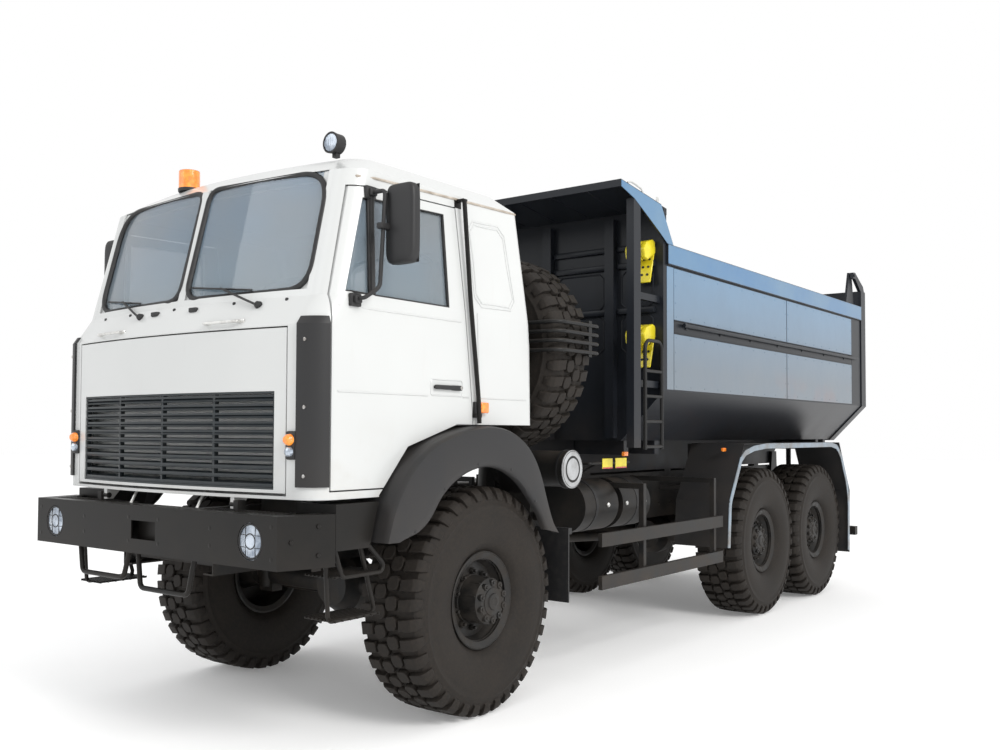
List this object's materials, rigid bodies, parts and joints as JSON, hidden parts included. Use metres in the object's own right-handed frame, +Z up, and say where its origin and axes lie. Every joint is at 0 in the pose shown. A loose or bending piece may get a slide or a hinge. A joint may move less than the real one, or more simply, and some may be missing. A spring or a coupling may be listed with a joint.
{
  "type": "dump truck",
  "caption": "Off-road tipping truck with a tilting forward cab, single tyres all round, a rear-tipping steel bed with a canopy, a top-hung tailgate and a telescopic hoist.",
  "frame": {"origin": "ground level at the middle of the overall length and width", "axes": "+Y to the rear, +X to the vehicle's left side, +Z up; the cab faces -Y"},
  "size_m": [2.78, 8.54, 3.456],
  "materials": {
    "cab_paint": "gloss",
    "chassis_paint": "satin",
    "bed_paint": "gloss",
    "bumper_paint": "satin",
    "tyre": "matte",
    "rim_paint": "dusty",
    "dark_plastic": "matte",
    "glass": "clear",
    "rubber": "matte",
    "steel": "oiled",
    "cabin": "woven",
    "lens": "clear",
    "chock_yellow": "gloss"
  },
  "bodies": {
    "chassis": {"frame": "chassis_paint", "subframe": "chassis_paint", "front_bumper": "bumper_paint", "lamps": "lens", "fenders": "dark_plastic", "front_mud_flaps": "rubber", "cab_steps": "chassis_paint", "leaf_springs": "chassis_paint", "front_axle_beam": "chassis_paint", "rear_axle_beams": "chassis_paint", "engine": "chassis_paint", "drive_shafts": "chassis_paint", "spare_tyre": "tyre", "spare_carrier": "chassis_paint", "air_tanks": "chassis_paint", "fuel_tank": "chassis_paint", "side_guards": "chassis_paint", "rear_mudguards": "dark_plastic"},
    "knuckle_left": {"knuckle_left": "chassis_paint"},
    "knuckle_right": {"knuckle_right": "chassis_paint"},
    "tie_rod": {"tie_rod": "chassis_paint"},
    "cab": {"cab_shell": "cab_paint", "cab_glass": "glass", "cab_interior": "cabin", "cab_trim": "dark_plastic"},
    "door_left": {"door_left": "cab_paint", "door_glass_left": "glass", "mirror_left": "dark_plastic"},
    "door_right": {"door_right": "cab_paint", "door_glass_right": "glass", "mirror_right": "dark_plastic"},
    "front_panel": {"front_panel": "cab_paint", "grille": "dark_plastic"},
    "bed": {"bed_body": "bed_paint", "bed_front_wall": "bed_paint", "canopy": "bed_paint", "bed_underframe": "bed_paint", "bed_ladder": "chassis_paint", "wheel_chocks": "chock_yellow"},
    "tailgate": {"tailgate": "bed_paint"},
    "hoist_barrel": {"hoist_barrel": "chassis_paint"},
    "hoist_stage_1": {"hoist_stage_1": "steel"},
    "hoist_stage_2": {"hoist_stage_2": "steel"},
    "hoist_stage_3": {"hoist_stage_3": "steel"},
    "hoist_stage_4": {"hoist_stage_4": "steel"},
    "wheel_front_left": {"tyre_front_left": "tyre", "rim_front_left": "rim_paint"},
    "wheel_front_right": {"tyre_front_right": "tyre", "rim_front_right": "rim_paint"},
    "wheel_mid_left": {"tyre_mid_left": "tyre", "rim_mid_left": "rim_paint"},
    "wheel_mid_right": {"tyre_mid_right": "tyre", "rim_mid_right": "rim_paint"},
    "wheel_rear_left": {"tyre_rear_left": "tyre", "rim_rear_left": "rim_paint"},
    "wheel_rear_right": {"tyre_rear_right": "tyre", "rim_rear_right": "rim_paint"}
  },
  "joints": [
    {"name": "roll_front_left", "type": "hinge", "parent": "knuckle_left", "child": "wheel_front_left", "pos_m": [0.952, -2.723, 0.672], "axis": [1, 0, 0], "continuous": true},
    {"name": "roll_front_right", "type": "hinge", "parent": "knuckle_right", "child": "wheel_front_right", "pos_m": [-0.952, -2.723, 0.672], "axis": [1, 0, 0], "continuous": true},
    {"name": "roll_mid_left", "type": "hinge", "parent": "chassis", "child": "wheel_mid_left", "pos_m": [0.952, 1.542, 0.672], "axis": [1, 0, 0], "continuous": true},
    {"name": "roll_mid_right", "type": "hinge", "parent": "chassis", "child": "wheel_mid_right", "pos_m": [-0.952, 1.542, 0.672], "axis": [1, 0, 0], "continuous": true},
    {"name": "roll_rear_left", "type": "hinge", "parent": "chassis", "child": "wheel_rear_left", "pos_m": [0.952, 2.942, 0.672], "axis": [1, 0, 0], "continuous": true},
    {"name": "roll_rear_right", "type": "hinge", "parent": "chassis", "child": "wheel_rear_right", "pos_m": [-0.952, 2.942, 0.672], "axis": [1, 0, 0], "continuous": true},
    {"name": "steer_left", "type": "hinge", "parent": "chassis", "child": "knuckle_left", "pos_m": [0.78, -2.723, 0.672], "axis": [0, 0, 1], "range_deg": [-28, 28]},
    {"name": "steer_right", "type": "hinge", "parent": "chassis", "child": "knuckle_right", "pos_m": [-0.78, -2.723, 0.672], "axis": [0, 0, 1], "range_deg": [-28, 28]},
    {"name": "track_rod", "type": "hinge", "parent": "knuckle_left", "child": "tie_rod", "pos_m": [0.78, -2.553, 0.565], "axis": [0, 0, 1], "range_deg": [-28, 28]},
    {"name": "cab_tilt", "type": "hinge", "parent": "chassis", "child": "cab", "pos_m": [0, -4.123, 1.285], "axis": [1, 0, 0], "range_deg": [0, 45]},
    {"name": "left_door", "type": "hinge", "parent": "cab", "child": "door_left", "pos_m": [1.122, -3.966, 2], "axis": [0, 0, -1], "range_deg": [0, 65]},
    {"name": "right_door", "type": "hinge", "parent": "cab", "child": "door_right", "pos_m": [-1.122, -3.966, 2], "axis": [0, 0, 1], "range_deg": [0, 65]},
    {"name": "panel_lift", "type": "hinge", "parent": "cab", "child": "front_panel", "pos_m": [0, -4.168, 2.19], "axis": [-1, 0, 0], "range_deg": [0, 70]},
    {"name": "bed_tilt", "type": "hinge", "parent": "chassis", "child": "bed", "pos_m": [0, 3.577, 1.402], "axis": [-1, 0, 0], "range_deg": [0, 50]},
    {"name": "tailgate_swing", "type": "hinge", "parent": "bed", "child": "tailgate", "pos_m": [0, 3.9, 3.42], "axis": [1, 0, 0], "range_deg": [0, 60]},
    {"name": "hoist_lean", "type": "hinge", "parent": "chassis", "child": "hoist_barrel", "pos_m": [0, -1.173, 0.96], "axis": [-1, 0, 0], "range_deg": [0, 26]},
    {"name": "hoist_slide_1", "type": "slide", "parent": "hoist_barrel", "child": "hoist_stage_1", "axis": [0, 0.0665, 0.9978], "range_m": [0, 0.97]},
    {"name": "hoist_slide_2", "type": "slide", "parent": "hoist_stage_1", "child": "hoist_stage_2", "axis": [0, 0.0665, 0.9978], "range_m": [0, 0.97]},
    {"name": "hoist_slide_3", "type": "slide", "parent": "hoist_stage_2", "child": "hoist_stage_3", "axis": [0, 0.0665, 0.9978], "range_m": [0, 0.97]},
    {"name": "hoist_slide_4", "type": "slide", "parent": "hoist_stage_3", "child": "hoist_stage_4", "axis": [0, 0.0665, 0.9978], "range_m": [0, 0.97]}
  ],
  "couplings": [
    {"joint": "steer_right", "follows": "steer_left", "ratio": 1},
    {"joint": "track_rod", "follows": "steer_left", "ratio": -1},
    {"joint": "hoist_lean", "follows": "bed_tilt", "ratio": 0.48},
    {"joint": "hoist_slide_1", "follows": "bed_tilt", "m_per_rad": 1.103},
    {"joint": "hoist_slide_2", "follows": "bed_tilt", "m_per_rad": 1.103},
    {"joint": "hoist_slide_3", "follows": "bed_tilt", "m_per_rad": 1.103},
    {"joint": "hoist_slide_4", "follows": "bed_tilt", "m_per_rad": 1.103}
  ]
}
